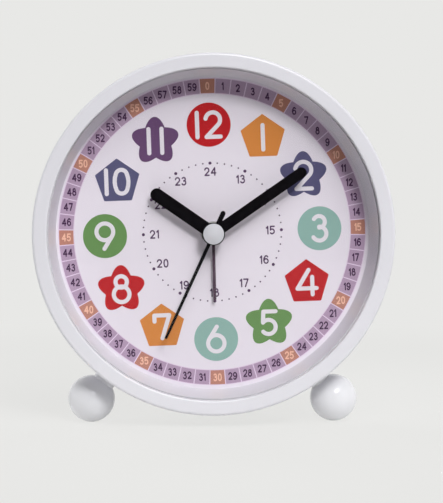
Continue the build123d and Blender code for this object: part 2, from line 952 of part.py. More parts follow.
def make_movement_lid():
    lid = housing_block(0, lid_rear, lid_front)
    bearings = [(centre_at, second_arbor_radius)]
    bearings += [(at, pivot_radius) for at in (third_at, fifth_at, rotor_at)]
    bearings += [(at, setting_radius) for at in (minute_at, alarm_at)]
    for at, radius in bearings:
        lid -= arbor(at, radius + run_gap, lid_rear - cut_over, lid_front + cut_over)
    for x, y in post_places:
        lid -= disc(lid_screw_radius + fit_gap, lid_rear - cut_over, lid_front + cut_over, x, y)
    for x, y in peg_places:
        lid += disc(2 * board_peg_radius, board_front, lid_rear, x, y)
        lid += disc(board_peg_radius, board_rear - board_stand, board_front, x, y)
    for x in coil_pin_places:
        hole = coil_pin_radius + fit_gap
        lid -= disc(hole, lid_rear - cut_over, lid_front + cut_over, x, coil_y)
    return lid


def make_stator():
    """The flat pole piece round the rotor, with a leg down to each end of the coil's core."""
    x, y = rotor_at.X, rotor_at.Y
    half = stator_half_length
    plate = block(x - half, x + half, y - stator_width / 2, y + stator_width / 2,
                  stator_rear, stator_front)
    plate += disc(stator_pad_radius, stator_rear, stator_front, x, y)
    for side in (-1, 1):
        plate += block(
            x + side * (half - stator_leg), x + side * half,
            coil_y - core_width / 2, y, stator_rear, stator_front,
        )
    plate -= disc(magnet_radius + rotor_air_gap, stator_rear - cut_over, stator_front + cut_over, x, y)
    return plate - stator_pin_holes()


def stator_pin_holes():
    return [
        disc(stator_pin_radius, core_rear - cut_over, stator_front + cut_over,
             rotor_at.X + side * leg_offset, coil_y)
        for side in (-1, 1)
    ]


def make_coil_core():
    x = rotor_at.X
    bar = block(
        x - stator_half_length, x + stator_half_length,
        coil_y - core_width / 2, coil_y + core_width / 2, core_rear, stator_rear,
    )
    return bar - stator_pin_holes()


def coil_tube(outer, half_length):
    return Pos(rotor_at.X, coil_y, core_middle) * rod(outer, -half_length, half_length)


def bobbin_sleeve():
    wide = core_width / 2 + bobbin_wall
    deep = stator_thickness / 2 + bobbin_wall
    half = coil_half_length
    x = rotor_at.X
    return block(x - half, x + half, coil_y - wide, coil_y + wide, core_middle - deep, core_middle + deep)


def make_coil_bobbin():
    ends = coil_tube(coil_flange_radius, coil_half_length)
    ends -= coil_tube(
        coil_flange_radius + cut_over, coil_half_length - coil_flange_thickness
    )
    wide = core_width / 2
    x = rotor_at.X
    bore = block(
        x - stator_half_length, x + stator_half_length,
        coil_y - wide, coil_y + wide, core_rear, stator_rear,
    )
    return ends + bobbin_sleeve() - bore


def make_coil_winding():
    wound = coil_tube(coil_wire_radius, coil_half_length - coil_flange_thickness)
    return wound - bobbin_sleeve()


def make_coil_pins():
    """Two pins from the winding through the lid to the circuit board."""
    deep = core_middle - coil_wire_radius
    return [disc(coil_pin_radius, board_rear - board_stand, deep, x, coil_y) for x in coil_pin_places]


def make_circuit_board():
    board = block(
        -board_half_width, board_half_width, board_low, board_top, board_rear, board_front
    )
    for x, y in peg_places:
        board -= disc(board_peg_radius + fit_gap, board_rear - cut_over, board_front + cut_over, x, y)
    for x in coil_pin_places:
        hole = coil_pin_radius + fit_gap
        board -= disc(hole, board_rear - cut_over, board_front + cut_over, x, coil_y)
    return board


def make_quartz_crystal():
    half = crystal_length / 2
    return Pos(0, crystal_y, board_rear - crystal_radius) * rod(crystal_radius, -half, half)


def make_clock_chip():
    """The drop of resin over the clock's chip."""
    dome = (chip_radius**2 + chip_height**2) / (2 * chip_height)
    ball = Pos(0, chip_y, board_rear - chip_height + dome) * Sphere(dome)
    return ball & disc(chip_radius, board_rear - chip_height, board_rear, 0, chip_y)


def make_buzzer():
    back = board_rear - buzzer_height
    can = disc(buzzer_radius, back, board_rear, buzzer_x, buzzer_y)
    port_end = back + buzzer_port_depth
    return can - disc(buzzer_port_radius, back - cut_over, port_end, buzzer_x, buzzer_y)


def switch_slot(back, front):
    """The way that the switch's stem slides along."""
    half = (switch_stem_length + switch_travel) / 2 + switch_room
    wide = switch_stem_width / 2 + switch_room
    return block(
        switch_x - half, switch_x + half, switch_y - wide, switch_y + wide, back, front
    )


def make_switch_body():
    back = board_rear - switch_height
    body = block(
        switch_x - switch_length / 2, switch_x + switch_length / 2,
        switch_y - switch_width / 2, switch_y + switch_width / 2,
        back, board_rear,
    )
    return body - switch_slot(back - cut_over, back + switch_stem_depth)


def make_alarm_switch():
    """The slider at its off end, with a ribbed cap outside the cover."""
    x = switch_x - switch_travel / 2
    half = switch_stem_length / 2
    wide = switch_stem_width / 2
    inner = board_rear - switch_height + switch_stem_depth - switch_room
    seat = back_outer - switch_cap_gap
    back = seat - switch_cap_height
    slider = block(x - half, x + half, switch_y - wide, switch_y + wide, seat, inner)
    slider += block(
        x - switch_cap_length / 2, x + switch_cap_length / 2,
        switch_y - switch_cap_width / 2, switch_y + switch_cap_width / 2, back, seat,
    )
    for i in range(switch_rib_count):
        groove = x + (i - (switch_rib_count - 1) / 2) * 2 * switch_rib_width
        slider -= block(
            groove - switch_rib_width / 2, groove + switch_rib_width / 2,
            switch_y - switch_cap_width, switch_y + switch_cap_width,
            back - cut_over, back + switch_rib_depth,
        )
    return slider


def make_cover_screws():
    return [
        make_screw(cover_screw_radius, cover_screw_length, cover_head_radius, cover_head_height,
                   flange_rear, (place.X, place.Y))
        for place in cover_screw_places
    ]


def make_lid_screws():
    return [
        make_screw(lid_screw_radius, lid_screw_length, lid_head_radius, lid_head_height,
                   lid_rear, place)
        for place in post_places
    ]


def make_movement_screws():
    length = lug_thickness + lug_setback - screw_tip_room
    return [
        make_screw(lid_screw_radius, length, lid_head_radius, lid_head_height,
                   lug_rear, (side * lug_x, 0))
        for side in (-1, 1)
    ]


def make_alarm_hand():
    return make_hand(alarm_hand_length, alarm_hand_width, hub_radius, alarm_tube_outer,
                     alarm_hand_back, alarm_hand_angle)


def make_hour_hand():
    return make_hand(hour_hand_length, hour_hand_width, hub_radius, hour_tube_outer,
                     hour_hand_back, hour_hand_angle)


def make_minute_hand():
    return make_hand(minute_hand_length, minute_hand_width, hub_radius, minute_tube_outer,
                     minute_hand_back, minute_hand_angle)


nodes = {
    "bezel": make_bezel(),
    "lens": make_lens(),
    "front_case": make_front_case(),
    "dial": make_dial(),
    "dial_plate": make_dial_plate(),
    "rear_cover": make_rear_cover(),
    "battery_door": make_battery_door(),
    "cover_screws": make_cover_screws(),
    "foot_screws": [make_foot_screw(side) for side in foot_sides],
    "alarm_hand": make_alarm_hand(),
    "hour_hand": make_hour_hand(),
    "minute_hand": make_minute_hand(),
    "second_hand": make_second_hand(),
    "second_hand_cap": make_second_hand_cap(),
    "movement_base": make_movement_base(),
    "movement_lid": make_movement_lid(),
    "lid_screws": make_lid_screws(),
    "movement_screws": make_movement_screws(),
    "alarm_wheel": make_alarm_wheel(),
    "hour_wheel": make_hour_wheel(),
    "minute_arbor": make_minute_arbor(),
    "clutch_spring": make_clutch_spring(),
    "centre_wheel": make_centre_wheel(),
    "third_wheel": make_third_wheel(),
    "second_wheel": make_second_wheel(),
    "fifth_wheel": make_fifth_wheel(),
    "rotor_pinion": make_rotor_pinion(),
    "rotor_magnet": make_rotor_magnet(),
    "minute_wheel": make_minute_wheel(),
    "alarm_set_arbor": make_alarm_set_arbor(),
    "time_knob": make_knob(minute_at),
    "alarm_knob": make_knob(alarm_at),
    "stator": make_stator(),
    "coil_core": make_coil_core(),
    "coil_bobbin": make_coil_bobbin(),
    "coil_winding": make_coil_winding(),
    "coil_pins": make_coil_pins(),
    "circuit_board": make_circuit_board(),
    "quartz_crystal": make_quartz_crystal(),
    "clock_chip": make_clock_chip(),
    "buzzer": make_buzzer(),
    "switch_body": make_switch_body(),
    "alarm_switch": make_alarm_switch(),
    "battery": make_battery(),
    "contact_positive": make_contact_positive(),
    "contact_negative": make_contact_negative(),
}
for side, name in foot_sides.items():
    nodes[name] = make_foot(side)

# Stand the clock up: the dial's face towards -Y, the feet on the floor, the depth centred
standing = Plane(origin=(0, depth_middle, axis_height), x_dir=(1, 0, 0), z_dir=(0, -1, 0)).location
os.makedirs("parts", exist_ok=True)
for name, shape in nodes.items():
    if isinstance(shape, list):
        shape = Compound(children=[piece.solid() for piece in shape])
    export_step(standing * shape, f"parts/{name}.step")
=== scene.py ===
import bmesh
import bpy
import json
from math import cos, degrees, pi, radians, sin
from mathutils import Matrix, Vector


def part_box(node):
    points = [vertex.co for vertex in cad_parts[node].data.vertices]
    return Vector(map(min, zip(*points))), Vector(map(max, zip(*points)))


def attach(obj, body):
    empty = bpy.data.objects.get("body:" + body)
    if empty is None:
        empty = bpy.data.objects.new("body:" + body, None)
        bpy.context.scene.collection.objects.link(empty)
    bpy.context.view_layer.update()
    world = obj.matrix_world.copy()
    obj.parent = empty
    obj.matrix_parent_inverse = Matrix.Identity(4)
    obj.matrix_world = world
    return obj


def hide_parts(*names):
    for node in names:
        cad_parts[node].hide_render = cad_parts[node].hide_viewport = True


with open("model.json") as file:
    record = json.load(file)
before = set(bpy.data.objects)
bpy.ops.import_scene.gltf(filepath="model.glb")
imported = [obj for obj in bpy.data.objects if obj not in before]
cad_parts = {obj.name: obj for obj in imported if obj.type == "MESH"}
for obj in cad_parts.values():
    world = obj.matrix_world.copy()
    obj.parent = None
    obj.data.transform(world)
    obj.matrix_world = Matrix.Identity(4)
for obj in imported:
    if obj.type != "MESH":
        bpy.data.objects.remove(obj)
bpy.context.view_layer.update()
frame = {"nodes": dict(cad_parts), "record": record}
nodes = frame["nodes"]
scene = bpy.context.scene
mm = 0.001

# Where things are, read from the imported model
dialLow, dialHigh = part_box("dial")
bezelLow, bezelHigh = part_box("bezel")
axisHeight = (dialLow.z + dialHigh.z) / 2
dialFront = dialLow.y
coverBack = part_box("rear_cover")[1].y
print("frame loaded:", len(nodes), "nodes")


def standUp(depth, turn=0):
    # drawings are flat in mm, x right, y up and z towards the viewer; a turn of pi faces someone behind the clock
    return (Matrix.Translation((0, depth, axisHeight)) @ Matrix.Rotation(turn, 4, "Z")
            @ Matrix.Rotation(radians(90), 4, "X") @ Matrix.Scale(mm, 4))


def srgb(red, green, blue):
    def straight(value):
        share = value / 255
        return share / 12.92 if share <= 0.04045 else ((share + 0.055) / 1.055) ** 2.4
    return straight(red), straight(green), straight(blue), 1


# Helpers for shader nodes: a source is another node's socket or a plain value

def feed(tree, source, socket):
    if isinstance(source, bpy.types.NodeSocket):
        tree.links.new(source, socket)
    else:
        socket.default_value = source


def mathNode(tree, operation, *sources):
    node = tree.nodes.new("ShaderNodeMath")
    node.operation = operation
    for source, socket in zip(sources, node.inputs):
        feed(tree, source, socket)
    return node.outputs[0]


def smoothStep(tree, source, start, end, atStart=0, atEnd=1):
    node = tree.nodes.new("ShaderNodeMapRange")
    node.interpolation_type = "SMOOTHSTEP"
    for name, value in (("Value", source), ("From Min", start), ("From Max", end),
                        ("To Min", atStart), ("To Max", atEnd)):
        feed(tree, value, node.inputs[name])
    return node.outputs["Result"]


def mixShaders(tree, share, first, second, output):
    mix = tree.nodes.new("ShaderNodeMixShader")
    for source, socket in zip((share, first.outputs[0], second.outputs[0]), mix.inputs):
        feed(tree, source, socket)
    tree.links.new(mix.outputs[0], tree.nodes[output].inputs["Surface"])


# The grain that all moulded, printed and rolled finishes share
grainShape = {"cloudScale": 60, "cloudDetail": 4, "skinDetail": 3, "skinRoughness": 0.6, "bumpStrength": 0.6}


def buildMouldGrain():
    group = bpy.data.node_groups.new("mouldGrain", "ShaderNodeTree")
    for way, name, kind in (
            ("INPUT", "Tone", "NodeSocketColor"), ("INPUT", "Cloud", "NodeSocketFloat"),
            ("INPUT", "Fineness", "NodeSocketFloat"), ("INPUT", "Rough", "NodeSocketFloat"),
            ("INPUT", "RoughSpread", "NodeSocketFloat"), ("OUTPUT", "Color", "NodeSocketColor"),
            ("OUTPUT", "Roughness", "NodeSocketFloat"), ("OUTPUT", "Height", "NodeSocketFloat")):
        group.interface.new_socket(name=name, in_out=way, socket_type=kind)
    make, link = group.nodes.new, group.links.new
    inside, outside = make("NodeGroupInput"), make("NodeGroupOutput")
    coords, cloud, skin = make("ShaderNodeTexCoord"), make("ShaderNodeTexNoise"), make("ShaderNodeTexNoise")
    cloud.inputs["Scale"].default_value = grainShape["cloudScale"]
    cloud.inputs["Detail"].default_value = grainShape["cloudDetail"]
    skin.inputs["Detail"].default_value = grainShape["skinDetail"]
    skin.inputs["Roughness"].default_value = grainShape["skinRoughness"]
    link(coords.outputs["Object"], cloud.inputs["Vector"])
    link(coords.outputs["Object"], skin.inputs["Vector"])
    link(inside.outputs["Fineness"], skin.inputs["Scale"])
    # clouding swings round 0: it scales the tone round 1 and shifts the roughness
    swing = mathNode(group, "SUBTRACT", cloud.outputs["Fac"], 0.5)
    tinted = make("ShaderNodeVectorMath")
    tinted.operation = "SCALE"
    link(inside.outputs["Tone"], tinted.inputs[0])
    link(mathNode(group, "MULTIPLY_ADD", swing, inside.outputs["Cloud"], 1), tinted.inputs["Scale"])
    link(tinted.outputs[0], outside.inputs["Color"])
    link(mathNode(group, "MULTIPLY_ADD", swing, inside.outputs["RoughSpread"], inside.outputs["Rough"]),
         outside.inputs["Roughness"])
    link(skin.outputs["Fac"], outside.inputs["Height"])
    return group


mouldGrain = buildMouldGrain()


def grained(name, tone, rough, cloud=0.03, spread=0.08, fineness=2500, depth=0.00002, specular=0.5, metallic=0):
    # cloud and spread say how far tone and roughness swing; fineness is grains to the metre, depth their height
    finish = bpy.data.materials.new(name)
    finish.use_nodes = True
    tree = finish.node_tree
    make, link = tree.nodes.new, tree.links.new
    shader = tree.nodes["Principled BSDF"]
    grain = make("ShaderNodeGroup")
    grain.name = "grain"
    grain.node_tree = mouldGrain
    values = {"Tone": tone, "Cloud": cloud, "Fineness": fineness, "Rough": rough, "RoughSpread": spread}
    for socket, value in values.items():
        grain.inputs[socket].default_value = value
    bump = make("ShaderNodeBump")
    bump.inputs["Distance"].default_value = depth
    bump.inputs["Strength"].default_value = grainShape["bumpStrength"]
    shader.inputs["Specular IOR Level"].default_value = specular
    shader.inputs["Metallic"].default_value = metallic
    link(grain.outputs["Color"], shader.inputs["Base Color"])
    link(grain.outputs["Roughness"], shader.inputs["Roughness"])
    link(grain.outputs["Height"], bump.inputs["Height"])
    link(bump.outputs["Normal"], shader.inputs["Normal"])
    return finish


def metal(name, tone, rough, cloud=0.1, spread=0.1):
    return grained(name, tone, rough, cloud, spread, 3500, 0.00001, metallic=1)


def ink(name, tone):
    return grained(name, tone, 0.6, 0.03, 0.06, 6000, 0.000006, specular=0.2)


# Finishes of the CAD nodes, one for each slot of the record
plasticWhite = srgb(221, 220, 226)
finishes = {
    "shell_white": grained("shellWhite", plasticWhite, 0.34, 0.02, 0.06, 3000, 0.000012),
    "cover_white": grained("coverWhite", plasticWhite, 0.46, 0.06, 0.1, 1400, 0.0002),
    "foot_white": grained("footWhite", srgb(227, 227, 231), 0.2, 0.02, 0.05, 1500, 0.000006),
    "knob_white": grained("knobWhite", srgb(226, 225, 230), 0.36, 0.03, 0.08, 2400, 0.00003),
    "dial_white": grained("dialWhite", srgb(233, 226, 236), 0.6, 0.012, 0.05, 5000, 0.000008, specular=0.25),
    "plate_white": grained("plateWhite", srgb(222, 221, 226), 0.5),
    "hand_black": grained("handBlack", srgb(5, 3, 6), 0.36, 0.3, 0.1, 4000, 0.000008, specular=0.07),
    "alarm_plum": grained("alarmPlum", srgb(64, 40, 60), 0.45, 0.2, 0.1, 4000, 0.000012),
    "cap_ivory": grained("capIvory", srgb(207, 207, 213), 0.55, 0.03, 0.06, 4000, 0.00001, specular=0.3),
    "movement_plastic": grained("movementPlastic", srgb(218, 218, 212), 0.48),
    "gear_plastic": grained("gearPlastic", srgb(232, 230, 220), 0.35),
    "bobbin_plastic": grained("bobbinPlastic", srgb(60, 92, 150), 0.42),
    "board_green": grained("boardGreen", srgb(28, 92, 56), 0.3, 0.12, 0.1, 1200, 0.00003),
    "chip_black": grained("chipBlack", srgb(22, 22, 23), 0.28, 0.2),
    "buzzer_black": grained("buzzerBlack", srgb(26, 26, 28), 0.5, 0.2),
    "switch_black": grained("switchBlack", srgb(30, 30, 32), 0.45, 0.2),
    "magnet_dark": grained("magnetDark", srgb(62, 60, 60), 0.4, 0.1, metallic=0.6),
    "screw_steel": metal("screwSteel", srgb(186, 187, 190), 0.3, spread=0.15),
    "spring_steel": metal("springSteel", srgb(170, 170, 172), 0.32),
    "contact_nickel": metal("contactNickel", srgb(200, 196, 188), 0.25),
    "core_steel": metal("coreSteel", srgb(150, 150, 154), 0.4),
    "crystal_steel": metal("crystalSteel", srgb(205, 205, 208), 0.2, cloud=0.05),
    "arbor_brass": metal("arborBrass", srgb(204, 168, 96), 0.3),
    "pin_brass": metal("pinBrass", srgb(208, 176, 108), 0.3),
    "copper_wire": grained("copperWire", srgb(184, 104, 62), 0.35, 0.15, 0.1, 6000, 0.00004, metallic=0.9),
}

# Clear acrylic; what one of its two faces lets through to the dial, unbent, is given apart
lens = {"tone": (1, 1, 1, 1), "rough": 0.03, "bend": 1.2, "letsThrough": (0.94, 0.94, 0.94, 1)}


def buildLens():
    finish = bpy.data.materials.new("lensClear")
    finish.use_nodes = True
    tree = finish.node_tree
    shader = tree.nodes["Principled BSDF"]
    values = {"Base Color": lens["tone"], "Roughness": lens["rough"], "IOR": lens["bend"], "Transmission Weight": 1}
    for socket, value in values.items():
        shader.inputs[socket].default_value = value
    clear = tree.nodes.new("ShaderNodeBsdfTransparent")
    clear.inputs["Color"].default_value = lens["letsThrough"]
    path = tree.nodes.new("ShaderNodeLightPath")
    unbent = mathNode(tree, "MAXIMUM", path.outputs["Is Shadow Ray"], path.outputs["Is Diffuse Ray"])
    mixShaders(tree, unbent, shader, clear, "Material Output")
    return finish


# The cell: bare metal at both ends, a dark wrap and a pale band, with the share of the length where each starts
cell = {
    "metal": srgb(190, 190, 188), "wrap": srgb(58, 64, 84), "pale": srgb(176, 178, 184), "rough": 0.28,
    "bands": (("wrap", 0.012), ("pale", 0.78), ("wrap", 0.96), ("metal", 0.972)),
}


def buildCell():
    low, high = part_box("battery")
    finish = grained("cellWrap", cell["metal"], cell["rough"], 0.05, metallic=0.4)
    tree = finish.node_tree
    make, link = tree.nodes.new, tree.links.new
    coords, axes, along = make("ShaderNodeTexCoord"), make("ShaderNodeSeparateXYZ"), make("ShaderNodeMapRange")
    along.inputs["From Min"].default_value = low.x
    along.inputs["From Max"].default_value = high.x
    bands = make("ShaderNodeValToRGB")
    bands.color_ramp.interpolation = "CONSTANT"
    stops = bands.color_ramp.elements
    stops.remove(stops[1])
    stops[0].color = cell["metal"]
    for tone, start in cell["bands"]:
        stops.new(start).color = cell[tone]
    link(coords.outputs["Object"], axes.inputs[0])
    link(axes.outputs["X"], along.inputs["Value"])
    link(along.outputs["Result"], bands.inputs["Fac"])
    link(bands.outputs["Color"], tree.nodes["grain"].inputs["Tone"])
    return finish


finishes["lens_clear"] = buildLens()
finishes["cell_wrap"] = buildCell()
for row in frame["record"]["subparts"]:
    coats = nodes[row["node"]].data.materials
    coats.clear()
    coats.append(finishes[row["material_slot"]])
print("finishes on the nodes:", len(finishes))

# The print on dial and back, drawn flat in mm
printing = {
    "turn": 2.0,              # degrees that the printed dial sits turned, anticlockwise
    "right": -0.17,           # how far the print sits off the axis, to the right and up
    "rise": 0.29,
    "sink": 0.01,             # how far ink goes into the face
    "ink": 0.03,              # thickness of one coat
    "stepUp": 0.004,          # each stroke of a numeral lies this much over the last
    "weld": 0.01,             # points within this share of half a stroke's width become one
    "closed": 0.1,            # a stroke that ends within this share of its start is a ring
}
toDial = (standUp(dialFront) @ Matrix.Translation((printing["right"], printing["rise"], 0))
          @ Matrix.Rotation(radians(printing["turn"]), 4, "Z"))
toBack = standUp(coverBack, pi)


def settle(name, bm, finish, place, body="case"):
    bmesh.ops.transform(bm, matrix=place, verts=bm.verts)
    bmesh.ops.recalc_face_normals(bm, faces=bm.faces)
    mesh = bpy.data.meshes.new(name)
    bm.to_mesh(mesh)
    bm.free()
    piece = bpy.data.objects.new(name, mesh)
    scene.collection.objects.link(piece)
    mesh.materials.append(finish)
    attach(piece, body)
    return piece


def inkCoat(bm, top=printing["ink"], base=0):
    # flat faces at z 0 become a closed coat that sinks a little into what it lies on
    back = base - printing["sink"]
    bmesh.ops.translate(bm, verts=bm.verts, vec=(0, 0, back))
    grown = bmesh.ops.extrude_face_region(bm, geom=bm.faces[:])["geom"]
    fresh = [part for part in grown if isinstance(part, bmesh.types.BMVert)]
    bmesh.ops.translate(bm, verts=fresh, vec=(0, 0, top - back))


def stamp(sheet, bit, place=Matrix.Identity(4)):
    # copies a finished bit into a sheet of such bits
    bmesh.ops.transform(bit, matrix=place, verts=bit.verts)
    mesh = bpy.data.meshes.new("bit")
    bit.to_mesh(mesh)
    bit.free()
    sheet.from_mesh(mesh)
    bpy.data.meshes.remove(mesh)


def penStroke(halfWidth, start, moves, perStep):
    # a flat ribbon two faces wide with round ends; a move is ("line", x, y) or ("arc", centre x, centre y, degrees)
    bm = bmesh.new()
    at = Vector((*start, 0))
    first = moves[0]
    if first[0] == "line":
        ahead = (Vector((*first[1:], 0)) - at).normalized()
    else:
        out = (at - Vector((*first[1:3], 0))).normalized()
        ahead = Vector((-out.y, out.x, 0)) * (1 if first[3] > 0 else -1)
    across = Vector((-ahead.y, ahead.x, 0)) * halfWidth
    left, middle, right = (bm.verts.new(at + across * side) for side in (1, 0, -1))
    pen = [bm.edges.new((left, middle)), bm.edges.new((middle, right))]
    ends = [(at.copy(), across.copy())]
    for move in moves:
        if move[0] == "line":
            step = Vector((*move[1:], 0)) - at
            spun = bmesh.ops.spin(bm, geom=pen, cent=at, axis=(0, 0, 1), dvec=step, angle=0, steps=1)
            at = at + step
        else:
            hub, turn = Vector((*move[1:3], 0)), radians(move[3])
            steps = max(2, round(abs(move[3]) / perStep))
            spun = bmesh.ops.spin(bm, geom=pen, cent=hub, axis=(0, 0, 1), angle=turn, steps=steps)
            at = hub + Matrix.Rotation(turn, 3, "Z") @ (at - hub)
            across = Matrix.Rotation(turn, 3, "Z") @ across
        pen = [part for part in spun["geom_last"] if isinstance(part, bmesh.types.BMEdge)]
    ends.append((at, -across))
    if (ends[0][0] - ends[1][0]).length > halfWidth * printing["closed"]:
        endSteps = max(4, round(180 / perStep))
        for spot, side in ends:
            half = bm.edges.new((bm.verts.new(spot), bm.verts.new(spot + side)))
            bmesh.ops.spin(bm, geom=[half], cent=spot, axis=(0, 0, 1), angle=pi, steps=endSteps)
    bmesh.ops.remove_doubles(bm, verts=bm.verts, dist=halfWidth * printing["weld"])
    return bm


# Pen strokes of figures and signs for a height of 1: the width, then where the pen starts and what it does.
# The two angles are those of a long side and of an end of the oval 0.
ovalSide, ovalEnd = 43.6, 136.4
penSigns = {
    "0": (0.58, [((0.58, 0.5), [("arc", -0.361, 0.5, ovalSide / 2), ("arc", 0.29, 0.76, ovalEnd),
                                ("arc", 0.941, 0.5, ovalSide), ("arc", 0.29, 0.24, ovalEnd),
                                ("arc", -0.361, 0.5, ovalSide / 2)])]),
    "1": (0.0, [((0, 1), [("line", 0, 0)])]),
    "2": (0.6, [((0.005, 0.752), [("arc", 0.3, 0.7, -215), ("line", 0.024, 0)]),
                ((0.024, 0), [("line", 0.6, 0)])]),
    "3": (0.55, [((0.061, 0.8825), [("arc", 0.265, 0.765, -240)]),
                 ((0.265, 0.57), [("arc", 0.265, 0.285, -240)])]),
    "4": (0.78, [((0.47, 1), [("line", 0, 0.25)]), ((0, 0.25), [("line", 0.78, 0.25)]),
                 ((0.61, 0.71), [("line", 0.61, 0)])]),
    "5": (0.6, [((0.6, 1), [("line", 0.06, 1)]), ((0.06, 1), [("line", 0.029, 0.5175)]),
                ((0.029, 0.5175), [("arc", 0.27, 0.315, -280)])]),
    "6": (0.66, [((0.66, 0.33), [("arc", 0.33, 0.33, 360)]), ((0.37, 1), [("line", 0.054, 0.511)])]),
    "7": (0.65, [((0, 0.74), [("line", 0, 1)]), ((0, 1), [("line", 0.65, 1)]), ((0.65, 1), [("line", 0.32, 0)])]),
    "8": (0.604, [((0.604, 0.302), [("arc", 0.302, 0.302, 360)]), ((0.522, 0.78), [("arc", 0.302, 0.78, 360)])]),
    "9": (0.66, [((0.66, 0.67), [("arc", 0.33, 0.67, 360)]), ((0.29, 0), [("line", 0.606, 0.489)])]),
    "flagged1": (0.2, [((0, 0.8), [("line", 0.2, 1)]), ((0.2, 1), [("line", 0.2, 0)])]),
    "closed4": (0.66, [((0.5, 1), [("line", 0, 0.3)]), ((0, 0.3), [("line", 0.66, 0.3)]),
                       ((0.5, 1), [("line", 0.5, 0)])]),
    "curled6": (0.6, [((0.6, 0.3), [("arc", 0.3, 0.3, 360)]),
                      ((0.556, 0.86), [("arc", 0.34, 0.78, 108), ("arc", 0.7, 0.42, 50)])]),
    "plain7": (0.6, [((0, 1), [("line", 0.6, 1)]), ((0.6, 1), [("line", 0.2, 0)])]),
    "curled9": (0.6, [((0, 0.7), [("arc", 0.3, 0.7, -360)]),
                      ((0.044, 0.14), [("arc", 0.26, 0.22, 108), ("arc", -0.1, 0.58, 50)])]),
    "clock": (1.0, [((1, 0.5), [("arc", 0.5, 0.5, 360)]), ((0.5, 0.5), [("line", 0.5, 0.84)]),
                    ((0.5, 0.5), [("line", 0.74, 0.5)])]),
    "bell": (0.9, [((0, 0.2), [("line", 0.9, 0.2)]), ((0.4, 0.02), [("line", 0.5, 0.02)]),
                   ((0.15, 0.2), [("line", 0.15, 0.58), ("arc", 0.45, 0.58, -180), ("line", 0.75, 0.2)]),
                   ((0.45, 0.88), [("line", 0.45, 1)])]),
    "ring": (1.0, [((1, 0.5), [("arc", 0.5, 0.5, 360)])]),
    "cell": (2.4, [((0.2, 0), [("line", 2.2, 0), ("arc", 2.2, 0.2, 90), ("line", 2.4, 0.8),
                               ("arc", 2.2, 0.8, 90), ("line", 0.2, 1), ("arc", 0.2, 0.8, 90),
                               ("line", 0, 0.2), ("arc", 0.2, 0.2, 90)]),
                   ((-0.12, 0.36), [("line", -0.12, 0.64)]), ((0.3, 0.5), [("line", 0.7, 0.5)]),
                   ((0.5, 0.3), [("line", 0.5, 0.7)]), ((1.7, 0.5), [("line", 2.1, 0.5)])]),
}
smallForms = {"1": "flagged1", "4": "closed4", "6": "curled6", "7": "plain7", "9": "curled9"}


def smallKeys(number):
    return [smallForms.get(figure, figure) for figure in str(number)]


def penRow(sheet, keys, height, width, spacing, place, base, perStep):
    # figures or signs in a row, centred on the place
    def spot(left, x, y):
        return (left + x) * height, (y - 0.5) * height
    total = sum(penSigns[key][0] for key in keys) + spacing * (len(keys) - 1)
    left, coat = -total / 2, base
    for key in keys:
        wide, strokes = penSigns[key]
        for start, moves in strokes:
            drawn = [(kind, *spot(left, x, y), *turn) for kind, x, y, *turn in moves]
            stroke = penStroke(width / 2, spot(left, *start), drawn, perStep)
            inkCoat(stroke, coat + printing["ink"], base)
            stamp(sheet, stroke, place)
            coat += printing["stepUp"]
        left += wide + spacing


def clockPlace(share, radius, squeeze=1):
    # share of a turn clockwise from the top; what is drawn there is made narrower by the squeeze
    turn = 2 * pi * share
    return Matrix.Translation((radius * sin(turn), radius * cos(turn), 0)) @ Matrix.Diagonal((squeeze, 1, 1, 1))


# Minute track: a pale ground, sixty tiles, and numbers that stand upright
track = {
    "inner": 42.8, "outer": 47.2, "groundEdge": 0.25, "gap": 0.3, "middle": 45.0,
    "groundSteps": 180, "tileSteps": 3, "weld": 0.001,
    "numberHeight": 2.0, "numberPen": 0.48, "numberSqueeze": 0.78, "spacing": 0.34, "numberStep": 30,
    "ground": srgb(226, 208, 228), "mauve": srgb(179, 154, 180), "orange": srgb(188, 131, 115),
    "dark": srgb(70, 42, 74), "peach": srgb(236, 188, 164),
}


def ringSector(inner, outer, first, last, steps):
    # a flat piece of a ring between two angles, clockwise from the top in degrees
    bm = bmesh.new()
    start = radians(90 - first)
    ends = [bm.verts.new((radius * cos(start), radius * sin(start), 0)) for radius in (inner, outer)]
    bmesh.ops.spin(bm, geom=[bm.edges.new(ends)], cent=(0, 0, 0), axis=(0, 0, -1),
                   angle=radians(last - first), steps=steps)
    bmesh.ops.remove_doubles(bm, verts=bm.verts, dist=track["weld"])
    return bm


def buildTrack():
    inner, outer, middle, edge = (track[name] for name in ("inner", "outer", "middle", "groundEdge"))
    ground = ringSector(inner - edge, outer + edge, 0, 360, track["groundSteps"])
    inkCoat(ground, printing["ink"] / 2)
    settle("minuteTrackGround", ground, ink("inkTrackGround", track["ground"]), toDial)
    tiles = {"mauve": bmesh.new(), "orange": bmesh.new()}
    numbers = {"mauve": bmesh.new(), "orange": bmesh.new()}
    perMinute = 360 / 60
    halfTile = perMinute / 2 - degrees(track["gap"] / 2 / middle)
    for minute in range(60):
        colour = "orange" if minute % 5 == 0 else "mauve"
        tile = ringSector(inner, outer, perMinute * minute - halfTile, perMinute * minute + halfTile,
                          track["tileSteps"])
        inkCoat(tile)
        stamp(tiles[colour], tile)
        penRow(numbers[colour], smallKeys(minute), track["numberHeight"], track["numberPen"], track["spacing"],
               clockPlace(minute / 60, middle, track["numberSqueeze"]), printing["ink"], track["numberStep"])
    settle("minuteTiles", tiles["mauve"], ink("inkMauve", track["mauve"]), toDial)
    settle("fiveMinuteTiles", tiles["orange"], ink("inkOrangeTile", track["orange"]), toDial)
    settle("minuteNumbers", numbers["mauve"], ink("inkPlum", track["dark"]), toDial)
    settle("fiveMinuteNumbers", numbers["orange"], ink("inkPeach", track["peach"]), toDial)


buildTrack()
print("minute track printed")

